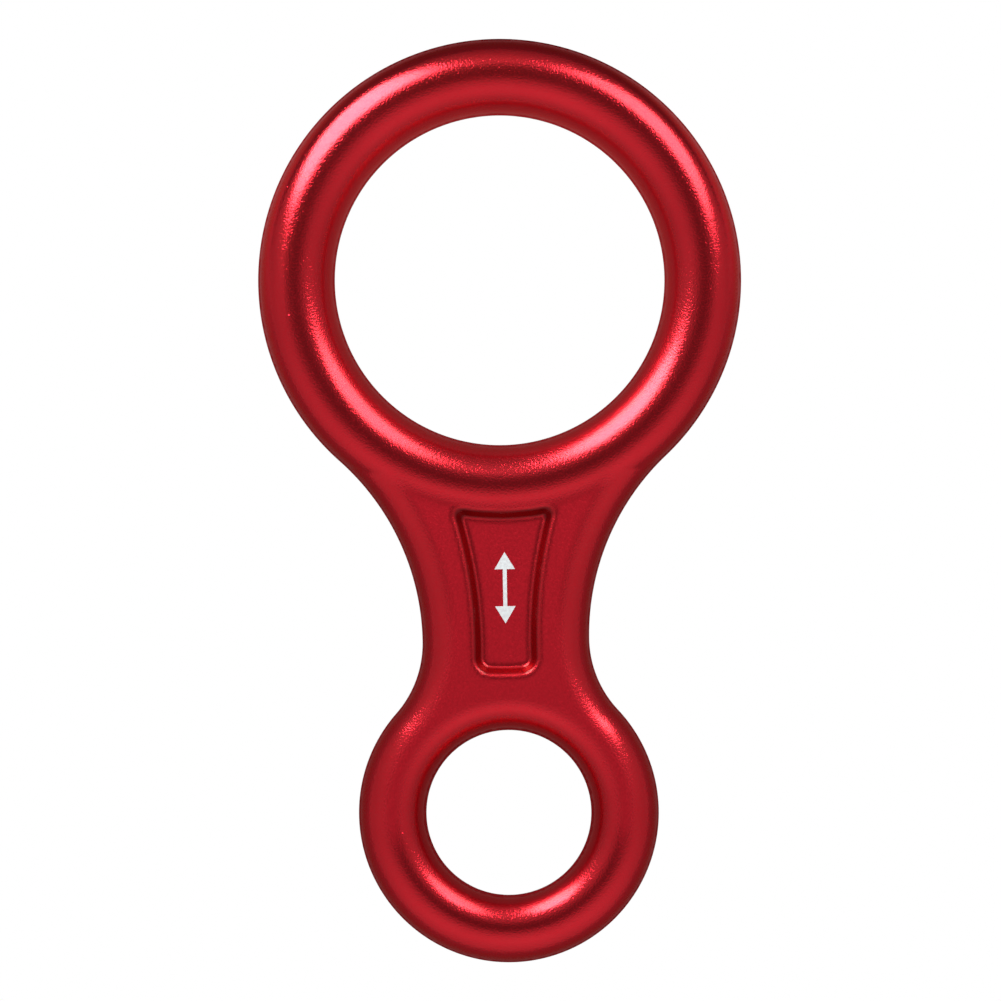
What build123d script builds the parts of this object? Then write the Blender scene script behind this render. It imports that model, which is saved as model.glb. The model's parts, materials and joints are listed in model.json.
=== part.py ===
from build123d import *

import math
import os

# Figure-eight rope descender: one forged, anodised aluminium piece with a load-axis mark.
# The piece lies flat. +Y runs along its length towards the rope ring, +X is its width and
# +Z its thickness. The origin is the middle of the bounding box's bottom.

# Driving dimensions, in millimetres
ROPE_HOLE_R = 25.0        # large hole, which the rope is bent through
RING_OUTER_R = 36.65      # outside of the rope ring
EYE_HOLE_R = 12.5         # small hole, which hangs on the connector
EYE_OUTER_R = 22.75       # outside of the attachment eye
HOLE_PITCH = 80.75        # between the centres of the two holes
CREST_HALF = 5.85         # half the thickness at the rope ring's crest
WEB_HALF = 5.2            # half the thickness of the web and the eye
LAND_HALF = 0.4           # half the height of the trimmed flash line round every edge
NECK_HALF = 12.65         # half the width at the narrowest place
NECK_DROP = 54.6          # from the rope hole's centre down to the narrowest place
FADE_END = 37.2           # where the crest has faded into the web, from the rope hole's centre
FADE_LEVEL = 0.22         # part of the fade that the crest's height holds for
FADE_DROP = 0.36          # part of the fade where it comes down to the web's height
FADE_SETTLE = 0.53        # part of the fade where it starts to settle on the web

POCKET_DEPTH = 1.6        # recess in each face of the web
POCKET_TOP_R = 35.6       # middle of its upper wall, about the rope hole's centre
POCKET_FOOT = 59.2        # middle of its lower wall, below the rope hole's centre
POCKET_FOOT_BOW = 0.25    # how far the lower wall bows out
POCKET_WAIST = 55.0       # where its side walls are parallel, below the same centre
POCKET_WAIST_HALF = 4.25  # half its width there
POCKET_SIDE_R = 70.0      # curve of its side walls
POCKET_TOP_CORNER = 1.3
POCKET_FOOT_CORNER = 1.9
POCKET_DRAFT = 32.0       # degrees that its walls lean out
POCKET_FLOOR_FILLET = 0.5
POCKET_RIM_FILLET = 0.85

MARK_DROP = 46.6          # middle of the mark, below the rope hole's centre
MARK_LENGTH = 10.8
MARK_HEAD_LENGTH = 2.6
MARK_HEAD_WIDTH = 3.1
MARK_STROKE = 0.6
MARK_THICKNESS = 0.05

# Derived places
LENGTH = RING_OUTER_R + HOLE_PITCH + EYE_OUTER_R
RING_Y = LENGTH / 2 - RING_OUTER_R
EYE_Y = RING_Y - HOLE_PITCH
NECK_Y = RING_Y - NECK_DROP
MID_Z = CREST_HALF
FAR = HOLE_PITCH + EYE_OUTER_R + 5.0
POCKET_FLOOR_Z = WEB_HALF - POCKET_DEPTH
TINY = 0.001


def flank_radius(ring_r, drop):
    """Radius of the arc that leaves a ring tangentially and is upright at the neck."""
    return (drop**2 + NECK_HALF**2 - ring_r**2) / (2 * (ring_r - NECK_HALF))


def tangent_point(ring_y, ring_r, arc_r):
    """Where a ring's right side meets the flank arc."""
    across = NECK_HALF + arc_r
    along = NECK_Y - ring_y
    reach = math.hypot(across, along)
    return (across * ring_r / reach, ring_y + along * ring_r / reach)


def arc_middle(start, end, centre, radius):
    """The point halfway along a short arc."""
    x = (start[0] + end[0]) / 2 - centre[0]
    y = (start[1] + end[1]) / 2 - centre[1]
    reach = math.hypot(x, y)
    return (centre[0] + x * radius / reach, centre[1] + y * radius / reach)


def mirrored(point):
    return (-point[0], point[1])


def outline():
    """The whole plan shape, holes left out."""
    upper_r = flank_radius(RING_OUTER_R, NECK_DROP)
    lower_r = flank_radius(EYE_OUTER_R, HOLE_PITCH - NECK_DROP)
    top = (0, RING_Y + RING_OUTER_R)
    foot = (0, EYE_Y - EYE_OUTER_R)
    upper = tangent_point(RING_Y, RING_OUTER_R, upper_r)
    lower = tangent_point(EYE_Y, EYE_OUTER_R, lower_r)
    neck = (NECK_HALF, NECK_Y)
    upper_mid = arc_middle(upper, neck, (NECK_HALF + upper_r, NECK_Y), upper_r)
    lower_mid = arc_middle(neck, lower, (NECK_HALF + lower_r, NECK_Y), lower_r)
    edges = [
        ThreePointArc(upper, top, mirrored(upper)),
        ThreePointArc(mirrored(upper), mirrored(upper_mid), mirrored(neck)),
        ThreePointArc(mirrored(neck), mirrored(lower_mid), mirrored(lower)),
        ThreePointArc(mirrored(lower), foot, lower),
        ThreePointArc(lower, lower_mid, neck),
        ThreePointArc(neck, upper_mid, upper),
    ]
    return make_face(Curve() + edges)


def thickness_blank():
    """A disc about the rope hole's axis: round inner edge, crest, then a fade to web height."""
    inner_r = CREST_HALF - LAND_HALF
    crest_r = ROPE_HOLE_R + inner_r
    inner_mid = (
        crest_r - inner_r * math.cos(math.pi / 4),
        LAND_HALF + inner_r * math.sin(math.pi / 4),
    )
    fade_run = FADE_END - crest_r
    # Control points of the fade: across from the axis, then up from the middle plane
    fade = [
        (crest_r, CREST_HALF),
        (crest_r + FADE_LEVEL * fade_run, CREST_HALF),
        (crest_r + FADE_DROP * fade_run, WEB_HALF),
        (crest_r + FADE_SETTLE * fade_run, WEB_HALF),
        (FADE_END, WEB_HALF),
    ]

    def at(point, side):
        return (point[0], 0, side * point[1])

    edges = [Line((ROPE_HOLE_R, 0, -LAND_HALF), (ROPE_HOLE_R, 0, LAND_HALF))]
    for side in (1, -1):
        start = (ROPE_HOLE_R, LAND_HALF)
        edges.append(ThreePointArc(at(start, side), at(inner_mid, side), at(fade[0], side)))
        edges.append(Bezier(*[at(point, side) for point in fade]))
        edges.append(Line(at(fade[-1], side), (FAR, 0, side * WEB_HALF)))
    edges.append(Line((FAR, 0, -WEB_HALF), (FAR, 0, WEB_HALF)))
    section = make_face(Curve() + edges)
    return Pos(0, RING_Y, 0) * revolve(section, Axis.Z)


def forged_blank():
    """The body without its recesses, centred on its middle plane."""
    prism = extrude(outline(), amount=CREST_HALF, both=True)
    eye_hole = Pos(0, EYE_Y, 0) * Cylinder(EYE_HOLE_R, 4 * CREST_HALF)
    return (thickness_blank() & prism) - eye_hole


def is_outside_wall(face):
    """True for the outline's and the eye's upright walls, and not for the rope hole's land."""
    return face.geom_type == GeomType.CYLINDER and face.bounding_box().size.Z > WEB_HALF


def rounded_blank():
    """The blank with its outline and eye edges rounded down to the flash line."""
    blank = forged_blank()
    walls = ShapeList(face for face in blank.faces() if is_outside_wall(face))
    sharp = [edge for edge in walls.edges() if edge.geom_type != GeomType.LINE]
    return fillet(sharp, WEB_HALF - LAND_HALF)


def recess_outline():
    """Plan shape of a recess halfway down its walls."""
    side_x = POCKET_WAIST_HALF + POCKET_SIDE_R
    waist_y = RING_Y - POCKET_WAIST
    foot_y = RING_Y - POCKET_FOOT

    def side_at(y):
        return side_x - math.sqrt(POCKET_SIDE_R**2 - (y - waist_y)**2)

    top_x = side_at(RING_Y - POCKET_TOP_R)
    top_y = RING_Y - math.sqrt(POCKET_TOP_R**2 - top_x**2)
    top_corner = (side_at(top_y), top_y)
    foot_corner = (side_at(foot_y), foot_y)
    side_middle_y = (top_y + foot_y) / 2
    side_middle = (side_at(side_middle_y), side_middle_y)
    edges = [
        ThreePointArc(top_corner, (0, RING_Y - POCKET_TOP_R), mirrored(top_corner)),
        ThreePointArc(mirrored(top_corner), mirrored(side_middle), mirrored(foot_corner)),
        ThreePointArc(mirrored(foot_corner), (0, foot_y - POCKET_FOOT_BOW), foot_corner),
        ThreePointArc(foot_corner, side_middle, top_corner),
    ]
    sharp = make_face(Curve() + edges)
    corners = sharp.vertices().sort_by(Axis.Y)
    softened = fillet(corners[:2], POCKET_FOOT_CORNER)
    corners = softened.vertices().sort_by(Axis.Y)
    return fillet(corners[-2:], POCKET_TOP_CORNER)


def recess_cutter():
    """The space above the upper recess's floor, with leaning walls."""
    shrink = POCKET_DEPTH / 2 * math.tan(math.radians(POCKET_DRAFT))
    floor = Pos(0, 0, POCKET_FLOOR_Z) * offset(recess_outline(), amount=-shrink)
    return extrude(floor, amount=CREST_HALF - POCKET_FLOOR_Z, taper=-POCKET_DRAFT)


def is_recess_floor(face):
    height = abs(face.center().Z)
    return face.geom_type == GeomType.PLANE and abs(height - POCKET_FLOOR_Z) < TINY


def forged_body():
    """The finished body, lying on its crest with its middle plane at MID_Z."""
    blank = rounded_blank()
    upper = recess_cutter()
    lower = mirror(upper, about=Plane.XY)
    body = blank - upper - lower
    body = fillet(new_edges(blank, upper, lower, combined=body), POCKET_RIM_FILLET)
    floors = ShapeList(face for face in body.faces() if is_recess_floor(face))
    body = fillet(floors.edges(), POCKET_FLOOR_FILLET)
    return Pos(0, 0, MID_Z) * body


def load_axis_mark():
    """A double-headed arrow along the load axis, lying on the upper recess's floor."""
    tip = MARK_LENGTH / 2
    neck = tip - MARK_HEAD_LENGTH
    arrow = Rectangle(MARK_STROKE, 2 * neck)
    for side in (1, -1):
        arrow += make_face(Polyline(
            (0, side * tip),
            (MARK_HEAD_WIDTH / 2, side * neck),
            (-MARK_HEAD_WIDTH / 2, side * neck),
            close=True,
        ))
    place = Pos(0, RING_Y - MARK_DROP, MID_Z + POCKET_FLOOR_Z)
    return place * extrude(arrow, amount=MARK_THICKNESS)


def main():
    os.makedirs("parts", exist_ok=True)
    pieces = {"forged_body": forged_body(), "load_axis_mark": load_axis_mark()}
    for name, piece in pieces.items():
        piece.label = name
        export_step(piece, f"parts/{name}.step")
        size = piece.bounding_box().size
        print(f"{name}: {piece.volume:.1f} mm3, {size.X:.2f} x {size.Y:.2f} x {size.Z:.2f} mm")


main()
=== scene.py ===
import json
import math

import bpy
import numpy as np
from mathutils import Matrix, Vector


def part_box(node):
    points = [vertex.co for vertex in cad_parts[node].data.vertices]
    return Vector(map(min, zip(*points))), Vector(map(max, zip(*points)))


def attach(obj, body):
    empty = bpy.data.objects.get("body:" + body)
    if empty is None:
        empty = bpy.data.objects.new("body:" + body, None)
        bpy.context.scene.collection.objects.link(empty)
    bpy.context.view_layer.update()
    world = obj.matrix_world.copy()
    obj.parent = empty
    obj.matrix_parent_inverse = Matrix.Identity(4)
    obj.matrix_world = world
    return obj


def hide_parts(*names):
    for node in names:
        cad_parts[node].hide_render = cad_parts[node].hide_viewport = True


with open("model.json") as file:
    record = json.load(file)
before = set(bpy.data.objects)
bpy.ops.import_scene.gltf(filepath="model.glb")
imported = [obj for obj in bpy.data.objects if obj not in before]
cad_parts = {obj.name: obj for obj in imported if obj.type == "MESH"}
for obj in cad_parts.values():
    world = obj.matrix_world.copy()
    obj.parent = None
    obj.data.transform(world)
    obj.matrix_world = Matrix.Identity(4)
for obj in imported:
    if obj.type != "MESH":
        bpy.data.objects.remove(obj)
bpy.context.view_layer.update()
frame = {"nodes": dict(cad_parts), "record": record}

# ---------------------------------------------------------------- sizes, in millimetres
MM = 0.001
MOUNTS = {mount["name"]: mount for mount in frame["record"]["mounts"]}
LOW = [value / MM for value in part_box("forged_body")[0]]
HIGH = [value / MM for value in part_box("forged_body")[1]]

ROPE_R = MOUNTS["rope_hole"]["dims"]["r_mm"]
EYE_R = MOUNTS["eye_hole"]["dims"]["r_mm"]
RING_Y = MOUNTS["rope_hole"]["pos_m"][1] / MM
EYE_Y = MOUNTS["eye_hole"]["pos_m"][1] / MM
MID_Z = (LOW[2] + HIGH[2]) / 2
CREST_HALF = (HIGH[2] - LOW[2]) / 2
RING_OUTER_R = (HIGH[0] - LOW[0]) / 2
EYE_OUTER_R = EYE_Y - LOW[1]

WEB_HALF = 5.2            # half the thickness of the web and the eye
NECK_HALF = 12.65         # half the width at the narrowest place
NECK_Y = RING_Y - 54.6    # the narrowest place
CREST_R = ROPE_R + 6.15   # crest of the ring's rounded bar
FADE_R = ROPE_R + 10.0    # where the crest has faded into the web
OUTER_POWER = 2.25        # the bar's outer side is a little squarer than an ellipse
FLASH_HALF = 0.4          # half the height of the trimmed flash line round every edge
FLASH_RUN = 0.25          # how far it stands out
EYE_FLASH_RUN = 0.35      # how far it stands into the eye's hole
EDGE_ROUND = 4.95         # rounding of the outline's edges
EYE_ROUND = 4.8           # rounding of the eye hole's edges
WEB_FALL = 2.6            # how far the web sinks into the ring past its sides
WEB_FALL_START = RING_Y - 26.0   # where along Y it starts to sink
WEB_FALL_END = RING_Y - 10.0     # and where it is all the way down
VALLEY_HEIGHTS = (2.0, 4.5)      # where the valley between the two starts to soften and is softest

RECESS_DEPTH = 1.6
RECESS_TOP_R = 35.6       # upper wall, about the rope hole's centre
RECESS_FOOT_Y = RING_Y - 59.2
RECESS_FOOT_R = 35.0      # bow of the lower wall
RECESS_WAIST_Y = RING_Y - 55.0
RECESS_WAIST_HALF = 4.25
RECESS_SIDE_R = 70.0
RECESS_TOP_CORNER = 1.3
RECESS_FOOT_CORNER = 1.9
RECESS_WALL = math.radians(58)   # slope of its walls
RECESS_RIM_R = 0.85
RECESS_FLOOR_R = 0.5

POLISH_REACH = 3.6        # how far in from an edge the polish goes
POLISH_BLUR = (-2.0, 0.5)  # where it starts and is full, from that line
EYE_SATIN = 0.5           # how much less it reaches round the neck and the eye
SATIN_START_Y = NECK_Y + 8.0
EYE_WEAR = 2.1            # how much further at the eye's far end, where the connector bears
WEAR_FULL_Y = EYE_Y - 10.0
RING_POLISH = (0.8, 5.0)  # where the ring's polish starts to fade and is gone, past its crest
WALL_POLISH = (0.7, 1.5)  # the same, from the middle of the recess's walls

EDGE_TRIM_AND_PAINTED_SHADE = (-1.6, -0.3)  # where the duller metal by the flash line, darkened with painted shade, starts and is full, round the outline
HOLE_TRIM_AND_PAINTED_SHADE = (-3.4, -1.6)  # the same round the holes
WALL_TRIM_AND_PAINTED_SHADE = (0.45, 0.9)   # where it starts to fade and is gone, from the middle of the recess's walls
EDGE_TRIM_AND_PAINTED_SHADE_SHARE = 0.4     # how much of it shows at the edges

MESH_STEP = 0.42
RELAX_ROUNDS = 8
SURFACE_ROUNDS = 4
SLOPE_REACH = 0.002       # how far apart the slope is measured
LEAST_SLOPE = 0.1         # keeps a step short where the slope all but vanishes


# ---------------------------------------------------------------- the body's shape
def smoothstep(low, high, value):
    t = np.clip((value - low) / (high - low), 0, 1)
    return t * t * (3 - 2 * t)


def round_meet(a, b, radius):
    """Distance to the meeting of two solids, with their shared edge rounded."""
    corner = np.hypot(np.maximum(a + radius, 0), np.maximum(b + radius, 0))
    return np.minimum(np.maximum(a, b), -radius) + corner


def flank_radius(ring_r, drop):
    """Radius of the arc that leaves a ring tangentially and is upright at the neck."""
    return (drop**2 + NECK_HALF**2 - ring_r**2) / (2 * (ring_r - NECK_HALF))


UPPER_FLANK_R = flank_radius(RING_OUTER_R, RING_Y - NECK_Y)
LOWER_FLANK_R = flank_radius(EYE_OUTER_R, NECK_Y - EYE_Y)


def flank_side(x, y, ring_y, flank_r):
    """Above zero on the upper side of the line from a ring's centre to its flank's centre."""
    return (NECK_HALF + flank_r) * (y - ring_y) - (NECK_Y - ring_y) * x


def outline_distance(x, y):
    """Distance outside the plan outline, holes left out."""
    x = np.abs(x)
    ring = np.hypot(x, y - RING_Y) - RING_OUTER_R
    eye = np.hypot(x, y - EYE_Y) - EYE_OUTER_R
    upper = UPPER_FLANK_R - np.hypot(x - NECK_HALF - UPPER_FLANK_R, y - NECK_Y)
    lower = LOWER_FLANK_R - np.hypot(x - NECK_HALF - LOWER_FLANK_R, y - NECK_Y)
    flank = np.where(y > NECK_Y, upper, lower)
    flank = np.where(flank_side(x, y, EYE_Y, LOWER_FLANK_R) < 0, eye, flank)
    return np.where(flank_side(x, y, RING_Y, UPPER_FLANK_R) > 0, ring, flank)


def recess_distance(x, y):
    """Distance outside the middle of the recess's walls, in plan."""
    x = np.abs(x)
    top = np.where(y < RING_Y, RECESS_TOP_R - np.hypot(x, y - RING_Y), RECESS_TOP_R)
    foot = np.hypot(x, y - RECESS_FOOT_Y - RECESS_FOOT_R) - RECESS_FOOT_R
    side_x = RECESS_WAIST_HALF + RECESS_SIDE_R
    side = RECESS_SIDE_R - np.hypot(x - side_x, y - RECESS_WAIST_Y)
    upper = round_meet(side, top, RECESS_TOP_CORNER)
    lower = round_meet(side, foot, RECESS_FOOT_CORNER)
    return np.where(y > (RECESS_FOOT_Y + RING_Y - RECESS_TOP_R) / 2, upper, lower)


def recess_depth(x, y):
    """Depth of the recess: an arc round its rim, a straight slope and an arc onto its floor."""
    out = recess_distance(x, y)
    lean = RECESS_DEPTH / 2 / math.tan(RECESS_WALL)
    rim = lean + RECESS_RIM_R * math.tan(RECESS_WALL / 2)
    foot = -lean - RECESS_FLOOR_R * math.tan(RECESS_WALL / 2)
    rim_run = RECESS_RIM_R * math.sin(RECESS_WALL)
    floor_run = RECESS_FLOOR_R * math.sin(RECESS_WALL)
    from_rim = np.clip(rim - out, 0, rim_run)
    from_foot = np.clip(out - foot, 0, floor_run)
    slope = np.clip(rim - rim_run - out, 0, rim - rim_run - foot - floor_run) * math.tan(RECESS_WALL)
    rim_drop = RECESS_RIM_R - np.sqrt(RECESS_RIM_R**2 - from_rim**2)
    floor_drop = np.sqrt(RECESS_FLOOR_R**2 - from_foot**2) - RECESS_FLOOR_R * math.cos(RECESS_WALL)
    return rim_drop + slope + floor_drop


def soft_union(a, b, softness):
    """Distance to two solids together, with a fillet of about that softness where they meet."""
    near = np.maximum(softness - np.abs(a - b), 0)
    return np.minimum(a, b) - near**2 / (4 * np.maximum(softness, 0.001))


def body_distance(points):
    """About the distance outside the body's surface, from points about its middle plane."""
    x, y, z = points
    from_ring = np.hypot(x, y - RING_Y)
    outside = outline_distance(x, y)
    rope = ROPE_R - from_ring
    eye = EYE_R - np.hypot(x, y - EYE_Y)
    inner = np.maximum(CREST_R - from_ring, 0) / (CREST_R - ROPE_R - FLASH_RUN)
    outer = np.maximum(from_ring - CREST_R, 0) / (RING_OUTER_R - CREST_R - FLASH_RUN)
    power = np.where(outer > 0, OUTER_POWER, 2)
    bar = CREST_HALF * (((inner + outer)**power + np.abs(z / CREST_HALF)**power)**(1 / power) - 1)
    fall = WEB_FALL * smoothstep(WEB_FALL_START, WEB_FALL_END, y)
    fade = 1 - smoothstep(CREST_R, FADE_R, from_ring)
    top = WEB_HALF + (CREST_HALF - WEB_HALF) * fade - fall - recess_depth(x, y)
    web = round_meet(outside + FLASH_RUN, np.abs(z) - top, EDGE_ROUND)
    web = np.maximum(web, round_meet(eye + EYE_FLASH_RUN, np.abs(z) - top, EYE_ROUND))
    web = np.maximum(web, CREST_R - from_ring)
    body = soft_union(bar, web, fall * smoothstep(*VALLEY_HEIGHTS, np.abs(z)))
    flash = round_meet(np.maximum(np.maximum(outside, eye), rope), np.abs(z) - FLASH_HALF, FLASH_HALF / 2)
    return soft_union(body, flash, FLASH_RUN)


# ---------------------------------------------------------------- meshing it
def gradient(points):
    """Slope of the distance along each axis."""
    out = np.empty_like(points)
    for axis in range(3):
        step = np.zeros((3, 1))
        step[axis] = SLOPE_REACH
        out[axis] = (body_distance(points + step) - body_distance(points - step)) / (2 * SLOPE_REACH)
    return out


def onto_surface(points):
    """Moves points along the gradient until they lie on the body's surface."""
    for _ in range(SURFACE_ROUNDS):
        slope = gradient(points)
        points = points - body_distance(points) * slope / np.maximum((slope**2).sum(0), LEAST_SLOPE)
    return points


def net_of_cells():
    """One vertex in each grid cell that the surface crosses, and a quad round each crossed edge."""
    reach = [RING_OUTER_R, HIGH[1], CREST_HALF]
    axes = [np.arange(-r - 1.5 * MESH_STEP, r + 2 * MESH_STEP, MESH_STEP) for r in reach]
    grid = np.meshgrid(*axes, indexing="ij")
    inside = body_distance(np.stack([g.ravel() for g in grid])).reshape(grid[0].shape) < 0
    corners = sum(
        inside[i:inside.shape[0] - 1 + i, j:inside.shape[1] - 1 + j, k:inside.shape[2] - 1 + k].astype(int)
        for i in (0, 1) for j in (0, 1) for k in (0, 1)
    )
    crossed = (corners > 0) & (corners < 8)
    number = np.full(crossed.shape, -1)
    number[crossed] = np.arange(crossed.sum())
    cells = np.argwhere(crossed)
    points = np.stack([axes[a][0] + (cells[:, a] + 0.5) * MESH_STEP for a in range(3)])
    quads = []
    for axis in range(3):
        u, v = (axis + 1) % 3, (axis + 2) % 3
        here = np.moveaxis(inside, (axis, u, v), (0, 1, 2))
        cell = np.moveaxis(number, (axis, u, v), (0, 1, 2))
        changed = here[:-1, 1:-1, 1:-1] != here[1:, 1:-1, 1:-1]
        leaving = here[:-1, 1:-1, 1:-1][changed]
        ring = np.stack([
            cell[:, :-1, :-1][changed], cell[:, 1:, :-1][changed],
            cell[:, 1:, 1:][changed], cell[:, :-1, 1:][changed],
        ], 1)
        ring[~leaving] = ring[~leaving][:, ::-1]
        quads.append(ring)
    return points, np.concatenate(quads)


def relaxed(points, quads):
    """Evens out the net by moving each vertex towards its neighbours, along the surface."""
    ends = np.concatenate([quads[:, [0, 1]], quads[:, [1, 2]], quads[:, [2, 3]], quads[:, [3, 0]]])
    count = np.bincount(ends[:, 0], minlength=points.shape[1])
    points = onto_surface(points)
    for _ in range(RELAX_ROUNDS):
        middle = np.stack([
            np.bincount(ends[:, 0], weights=row[ends[:, 1]], minlength=points.shape[1])
            for row in points
        ]) / count
        points = onto_surface((points + middle) / 2)
    return points


def polish_of(points):
    """1 where tumbling and use have polished the raised, rounded metal, 0 on the flat web."""
    x, y, _ = points
    from_ring = np.hypot(x, y - RING_Y)
    edge = np.maximum(outline_distance(x, y), EYE_R - np.hypot(x, y - EYE_Y))
    ring = 1 - smoothstep(CREST_R + RING_POLISH[0], CREST_R + RING_POLISH[1], from_ring)
    reach = POLISH_REACH - EYE_SATIN * smoothstep(SATIN_START_Y, NECK_Y, y)
    reach = reach + EYE_WEAR * smoothstep(EYE_Y, WEAR_FULL_Y, y)
    edge = smoothstep(POLISH_BLUR[0] - reach, POLISH_BLUR[1] - reach, edge)
    wall = 1 - smoothstep(*WALL_POLISH, np.abs(recess_distance(x, y)))
    return np.maximum(np.maximum(ring, edge), wall)


def trim_and_painted_shade_of(points):
    """1 on the steep metal beside the flash line and in the recess's walls, where tumbling reaches least,
    and where shade is painted into the colour.
    """
    x, y, _ = points
    holes = np.maximum(ROPE_R - np.hypot(x, y - RING_Y), EYE_R - np.hypot(x, y - EYE_Y))
    edge = np.maximum(smoothstep(*EDGE_TRIM_AND_PAINTED_SHADE, outline_distance(x, y)), smoothstep(*HOLE_TRIM_AND_PAINTED_SHADE, holes))
    wall = 1 - smoothstep(*WALL_TRIM_AND_PAINTED_SHADE, np.abs(recess_distance(x, y)))
    return np.maximum(EDGE_TRIM_AND_PAINTED_SHADE_SHARE * edge, wall)


def mesh_object(name, points, faces):
    mesh = bpy.data.meshes.new(name)
    mesh.from_pydata(points.T.tolist(), [], faces.tolist())
    mesh.shade_smooth()
    piece = bpy.data.objects.new(name, mesh)
    bpy.context.collection.objects.link(piece)
    return piece


def make_body():
    """The anodised body, with its finishes and its painted shade as attributes of its vertices."""
    points, quads = net_of_cells()
    points = relaxed(points, quads)
    placed = (points + np.array([[0], [0], [MID_Z]])) * MM
    body = mesh_object("anodised_body", placed, quads)
    for layer_name, value in (("polish", polish_of(points)), ("trim_and_painted_shade", trim_and_painted_shade_of(points))):
        layer = body.data.attributes.new(layer_name, "FLOAT", "POINT")
        layer.data.foreach_set("value", value.astype(np.float32))
    return body


# ---------------------------------------------------------------- materials
class Nodes:
    """Small helper that adds nodes to a material or world and links them."""

    def __init__(self, owner):
        owner.use_nodes = True
        self.tree = owner.node_tree
        self.tree.nodes.clear()

    def add(self, kind, settings=None, **inputs):
        node = self.tree.nodes.new(kind)
        for name, value in (settings or {}).items():
            setattr(node, name, value)
        for name, value in inputs.items():
            self.put(node, name.replace("_", " "), value)
        return node

    def put(self, node, name, value):
        socket = node.inputs[int(name)] if name.isdigit() else node.inputs[name]
        if isinstance(value, bpy.types.NodeSocket):
            self.tree.links.new(value, socket)
        else:
            socket.default_value = value

    def noise(self, place, scale, detail=2.0, roughness=0.5):
        node = self.add("ShaderNodeTexNoise", Vector=place, Scale=scale, Detail=detail, Roughness=roughness)
        return node.outputs["Fac"]

    def remap(self, value, from_min, from_max, to_min, to_max, smooth=False):
        kind = "SMOOTHSTEP" if smooth else "LINEAR"
        node = self.add("ShaderNodeMapRange", {"clamp": True, "interpolation_type": kind}, Value=value)
        span = {"From Min": from_min, "From Max": from_max, "To Min": to_min, "To Max": to_max}
        for name, number in span.items():
            node.inputs[name].default_value = number
        return node.outputs["Result"]

    def ramp(self, value, levels):
        node = self.add("ShaderNodeValToRGB", Fac=value)
        stops = node.color_ramp.elements
        for _ in levels[2:]:
            stops.new(0.5)
        for index, level in enumerate(levels):
            stops[index].position = index / (len(levels) - 1)
            stops[index].color = (level, level, level, 1)
        return node.outputs["Color"]

    def math(self, operation, first, second=0.0):
        node = self.add("ShaderNodeMath", {"operation": operation})
        self.put(node, "0", first)
        self.put(node, "1", second)
        return node.outputs["Value"]

    def mix(self, factor, first, second):
        node = self.add("ShaderNodeMix", {"data_type": "RGBA"})
        self.put(node, "0", factor)
        self.put(node, "6", first)
        self.put(node, "7", second)
        return node.outputs[2]

    def bump(self, height, distance, strength, normal=None):
        node = self.add("ShaderNodeBump", Height=height, Distance=distance, Strength=strength)
        if normal is not None:
            self.put(node, "Normal", normal)
        return node.outputs["Normal"]


FILM_RED = (0.87, 0.0145, 0.029, 1)         # on tumbled metal
FILM_RED_PALE = (0.93, 0.0165, 0.033, 1)    # where the film is a little thinner
FILM_RED_SATIN = (1.0, 0.0175, 0.038, 1)    # on the flat web
PAINTED_SHADE_RED = (0.20, 0.001, 0.003, 1)     # painted shade on the steep metal by the edges and in the recess's walls
GRAZING_RED = (1.0, 0.15, 0.20, 1)          # what the film leaves of a grazing reflection
PAINTED_SHADE_SHARE = 0.88                           # how much of the painted shade shows there
SATIN_ROUGHNESS = 0.36
POLISHED_ROUGHNESS = 0.155
STEEP_ROUGHNESS = 0.40                      # added on that steep metal
PEEL_ROUGHNESS = (-0.02, 0.03)              # added in the hollows and on the tops of the orange peel
GLOSS_WEIGHT = 0.32                         # the film's own clear surface
GLOSS_ROUGHNESS = 0.2
GLOSS_IOR = 1.6

# Noise scales: the film's tone, then the metal's wave, orange peel, grain and nicks
CLOUD_SCALE = 90
WAVE_SCALE = 400
PEEL_SCALE = 3000
GRAIN_SCALE = 5500
NICK_SCALE = 300
NICK_PATCH_SCALE = 180

# Depths of the same, in metres
WAVE_DEPTH = 0.00003
PEEL_DEPTH = 0.000033
GRAIN_DEPTH = 0.00002
NICK_DEPTH = 0.00004

MARK_WHITE = (0.88, 0.72, 0.78, 1)
MARK_WHITE_DULL = (0.74, 0.56, 0.62, 1)
MARK_SCALE = 2200
MARK_DEPTH = 0.00001


def nicks(n, place):
    """Height of a few tiny nicks: 0 in them and 1 elsewhere."""
    spot = n.add("ShaderNodeTexVoronoi", Vector=place, Scale=NICK_SCALE).outputs["Distance"]
    depth = n.remap(spot, 0.03, 0.07, 1, 0, smooth=True)
    some = n.remap(n.noise(place, NICK_PATCH_SCALE, 1), 0.52, 0.58, 0, 1)
    return n.math("SUBTRACT", 1.0, n.math("MULTIPLY", depth, some))


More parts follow.
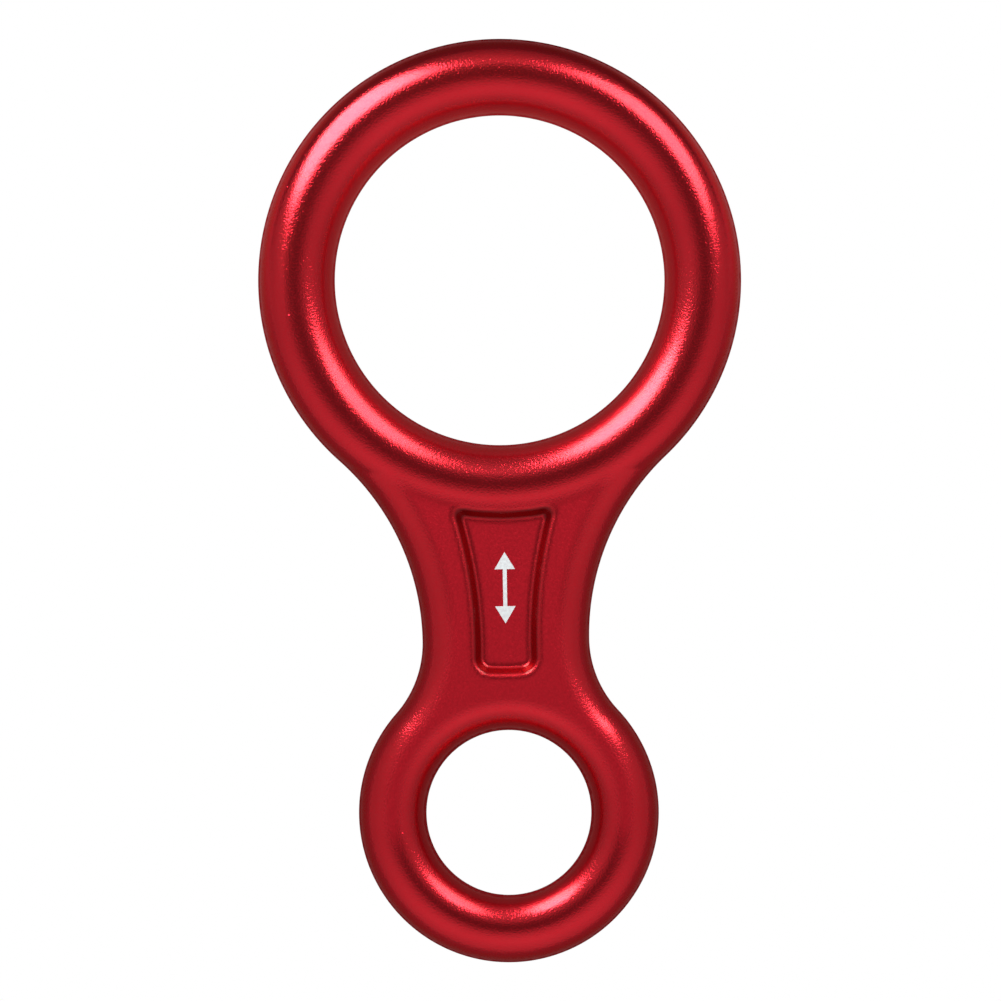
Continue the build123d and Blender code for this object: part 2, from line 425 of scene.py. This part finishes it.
def anodised_red():
    """Tumbled aluminium under a clear red anodic film, with painted shade on its steep metal."""
    material = bpy.data.materials.new("anodised_aluminium")
    n = Nodes(material)
    place = n.add("ShaderNodeTexCoord").outputs["Object"]
    polish = n.add("ShaderNodeAttribute", {"attribute_name": "polish"}).outputs["Fac"]
    trim_and_painted_shade = n.add("ShaderNodeAttribute", {"attribute_name": "trim_and_painted_shade"}).outputs["Fac"]
    cloud = n.noise(place, CLOUD_SCALE, 3)
    wave = n.noise(place, WAVE_SCALE, 2)
    peel = n.noise(place, PEEL_SCALE, 1, 0.4)
    grain = n.noise(place, GRAIN_SCALE, 0)
    tone = n.remap(cloud, 0.3, 0.7, 0, 1)
    base = n.mix(polish, FILM_RED_SATIN, n.mix(tone, FILM_RED, FILM_RED_PALE))
    # painted shade: the red darkens on the steep metal by the edges and in the recess's walls
    base = n.mix(n.remap(trim_and_painted_shade, 0, 1, 0, PAINTED_SHADE_SHARE), base, PAINTED_SHADE_RED)
    finish = n.remap(polish, 0, 1, SATIN_ROUGHNESS, POLISHED_ROUGHNESS)
    finish = n.math("ADD", finish, n.remap(trim_and_painted_shade, 0, 1, 0, STEEP_ROUGHNESS))
    rough = n.math("ADD", finish, n.remap(peel, 0.3, 0.7, *PEEL_ROUGHNESS))
    normal = n.bump(wave, WAVE_DEPTH, 0.5)
    normal = n.bump(peel, PEEL_DEPTH, 1.0, normal)
    normal = n.bump(grain, GRAIN_DEPTH, 1.0, normal)
    normal = n.bump(nicks(n, place), NICK_DEPTH, 1.0, normal)
    shader = n.add("ShaderNodeBsdfPrincipled", Base_Color=base, Metallic=1.0, Roughness=rough, Normal=normal)
    shader.inputs["Specular Tint"].default_value = GRAZING_RED
    shader.inputs["Coat Weight"].default_value = GLOSS_WEIGHT
    shader.inputs["Coat Roughness"].default_value = GLOSS_ROUGHNESS
    shader.inputs["Coat IOR"].default_value = GLOSS_IOR
    n.add("ShaderNodeOutputMaterial", Surface=shader.outputs["BSDF"])
    return material


def marking_white():
    """Thin white marking film, slightly patchy."""
    material = bpy.data.materials.new("marking_white")
    n = Nodes(material)
    place = n.add("ShaderNodeTexCoord").outputs["Object"]
    patch = n.remap(n.noise(place, MARK_SCALE, 3, 0.6), 0.35, 0.65, 0, 1)
    base = n.mix(patch, MARK_WHITE_DULL, MARK_WHITE)
    rough = n.remap(patch, 0, 1, 0.6, 0.45)
    normal = n.bump(patch, MARK_DEPTH, 0.5)
    shader = n.add("ShaderNodeBsdfPrincipled", Base_Color=base, Roughness=rough, Normal=normal)
    n.add("ShaderNodeOutputMaterial", Surface=shader.outputs["BSDF"])
    return material


# ---------------------------------------------------------------- studio
TENT_LEVELS = (0.65, 0.61, 0.82, 0.58, 0.35)  # brightness from the -Y side over the top to the +Y side
TENT_FOOT = 0.65                              # brightness at its foot, as a part of that
TENT_TOP = 1.05                               # and straight overhead

# Dim ovals in the tent: angles in degrees, half sizes as parts of the tent's radius
SEAM = {
    "azimuth": 270, "off_axis": 0, "half_width": 2.2, "half_height": 0.75, "depth": 0.66,
}
OPENING = {
    "azimuth": 86, "off_axis": 11, "half_width": 0.6, "half_height": 0.62, "depth": 0.62, "fullness": 1.2,
}

FLOOR_SIZE = 3.0                              # in metres
FLOOR_DROP = 0.0002                           # how far it lies below the object, in metres
CARD_LEVELS = (0.23, 0.42)                    # glow of the floor as the metal sees it, by the eye and in the ring: painted light and shade
CARD_RISE = (0.0, 50.0)                       # along Y, where one goes over into the other
CARD_PAINTED_SHADE = 0.28                             # the painted shade at the ring's far end, as a part of that
CARD_FALL = (55.0, 80.0)                      # along Y, where that begins and is full

# Panels: angles in degrees, lengths in millimetres
PANEL_TINT = (0.66, 1.0, 0.9)
RIGHT_PANEL = {
    "azimuth": 49, "off_axis": 53, "distance": 322, "half_width": 104, "half_height": 121, "level": 5.1,
}
LEFT_PANEL = {
    "azimuth": 125, "off_axis": 59, "distance": 210, "half_width": 64, "half_height": 90, "level": 10.8,
}


def pale_floor():
    """White to the camera, and a greyer glowing card to the metal, with painted light and shade along Y and
    painted shade at the ring's far end.
    """
    bpy.ops.mesh.primitive_plane_add(size=FLOOR_SIZE, location=(0, 0, -FLOOR_DROP))
    floor = bpy.context.object
    floor.name = "studio_floor"
    material = bpy.data.materials.new("pale_floor")
    n = Nodes(material)
    place = n.add("ShaderNodeTexCoord").outputs["Object"]
    along = n.add("ShaderNodeSeparateXYZ", Vector=place).outputs["Y"]
    # painted light and shade along Y: the card glows brighter in the ring, dimmer by the eye and at the
    # ring's far end
    card_level = n.remap(along, CARD_RISE[0] * MM, CARD_RISE[1] * MM, *CARD_LEVELS)
    shade = n.remap(along, CARD_FALL[0] * MM, CARD_FALL[1] * MM, 1, CARD_PAINTED_SHADE, smooth=True)
    card_level = n.math("MULTIPLY", card_level, shade)
    camera_ray = n.add("ShaderNodeLightPath").outputs["Is Camera Ray"]
    pale = n.add("ShaderNodeEmission", Color=(1, 1, 1, 1), Strength=1.0).outputs[0]
    card = n.add("ShaderNodeEmission", Color=(1, 1, 1, 1), Strength=card_level).outputs[0]
    both = n.add("ShaderNodeMixShader", Fac=camera_ray)
    n.put(both, "1", card)
    n.put(both, "2", pale)
    n.add("ShaderNodeOutputMaterial", Surface=both.outputs[0])
    floor.data.materials.append(material)


def facing(azimuth, off_axis):
    """Axes of something that faces the object: across, along and away from it.

    It is azimuth degrees round from +X and off_axis degrees down from overhead.
    """
    a, b = math.radians(azimuth), math.radians(off_axis)
    away = Vector((math.cos(a) * math.sin(b), math.sin(a) * math.sin(b), math.cos(b)))
    across = Vector((-math.sin(a), math.cos(a), 0))
    return across, away.cross(across), away


def dark_patch(n, way, azimuth, off_axis, half_width, half_height, depth, fullness=1.0):
    """Factor that dims a soft-edged oval of the tent, flat in its middle where fullness is above 1."""
    across, along, away = facing(azimuth, off_axis)

    def part(axis, size):
        node = n.add("ShaderNodeVectorMath", {"operation": "DOT_PRODUCT"})
        n.put(node, "0", way)
        n.put(node, "1", axis / size)
        return node.outputs["Value"]

    x, y = part(across, half_width), part(along, half_height)
    spread = n.math("SQRT", n.math("ADD", n.math("MULTIPLY", x, x), n.math("MULTIPLY", y, y)))
    dim = n.math("MINIMUM", n.remap(spread, 0, 1, fullness, 0, smooth=True), 1.0)
    dim = n.math("MULTIPLY", dim, n.remap(part(away, 1), 0, 0.1, 0, depth))
    return n.math("SUBTRACT", 1.0, dim)


def light_tent():
    """Pale tent, with an opening over the object and a dark seam from side to side."""
    world = bpy.data.worlds.new("light_tent")
    bpy.context.scene.world = world
    n = Nodes(world)
    way = n.add("ShaderNodeTexCoord").outputs["Generated"]
    axes = n.add("ShaderNodeSeparateXYZ", Vector=way).outputs
    tent = n.ramp(n.remap(axes["Y"], -1, 1, 0, 1), TENT_LEVELS)
    tent = n.math("MULTIPLY", tent, n.remap(axes["Z"], 0, 1, TENT_FOOT, TENT_TOP, smooth=True))
    tent = n.math("MULTIPLY", tent, dark_patch(n, way, **SEAM))
    tent = n.math("MULTIPLY", tent, dark_patch(n, way, **OPENING))
    light = n.add("ShaderNodeBackground", Color=(1, 1, 1, 1), Strength=tent)
    n.add("ShaderNodeOutputWorld", Surface=light.outputs[0])


def soft_panel(name, azimuth, off_axis, distance, half_width, half_height, level):
    """Oval soft light, in millimetres, a little cooler than the tent and as bright as that level."""
    across, along, away = facing(azimuth, off_axis)
    data = bpy.data.lights.new(name, "AREA")
    data.shape = "ELLIPSE"
    data.color = PANEL_TINT
    data.size = 2 * half_width * MM
    data.size_y = 2 * half_height * MM
    data.energy = level * math.pi * math.pi * half_width * half_height * MM**2
    panel = bpy.data.objects.new(name, data)
    panel.location = away * distance * MM
    panel.rotation_euler = Matrix((across, along, away)).transposed().to_euler()
    panel.visible_camera = False
    bpy.context.collection.objects.link(panel)


# ---------------------------------------------------------------- camera
LENS = 260.0              # long lens, so that both rings are seen square on
SENSOR = 36.0
VIEW_WIDTH = 151.9        # what the picture spans at the middle plane
ROLL = math.radians(1.0)  # the object leans this far clockwise in the picture
AIM = (-0.45, 0.02)       # middle of the picture, from the middle of the outline


def make_camera():
    data = bpy.data.cameras.new("camera")
    data.lens = LENS
    data.sensor_width = SENSOR
    distance = VIEW_WIDTH * LENS / SENSOR
    data.clip_start = 0.05
    data.clip_end = 20
    camera = bpy.data.objects.new("camera", data)
    camera.location = Vector((AIM[0], AIM[1], MID_Z + distance)) * MM
    camera.rotation_euler = (0, 0, -ROLL)
    bpy.context.collection.objects.link(camera)
    bpy.context.scene.camera = camera


make_camera()
body = make_body()
body.data.materials.append(anodised_red())
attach(body, "root")
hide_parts("forged_body")
frame["nodes"]["load_axis_mark"].material_slots[0].material = marking_white()
pale_floor()
light_tent()
soft_panel("right_panel", **RIGHT_PANEL)
soft_panel("left_panel", **LEFT_PANEL)
bpy.context.scene.view_settings.view_transform = "Standard"
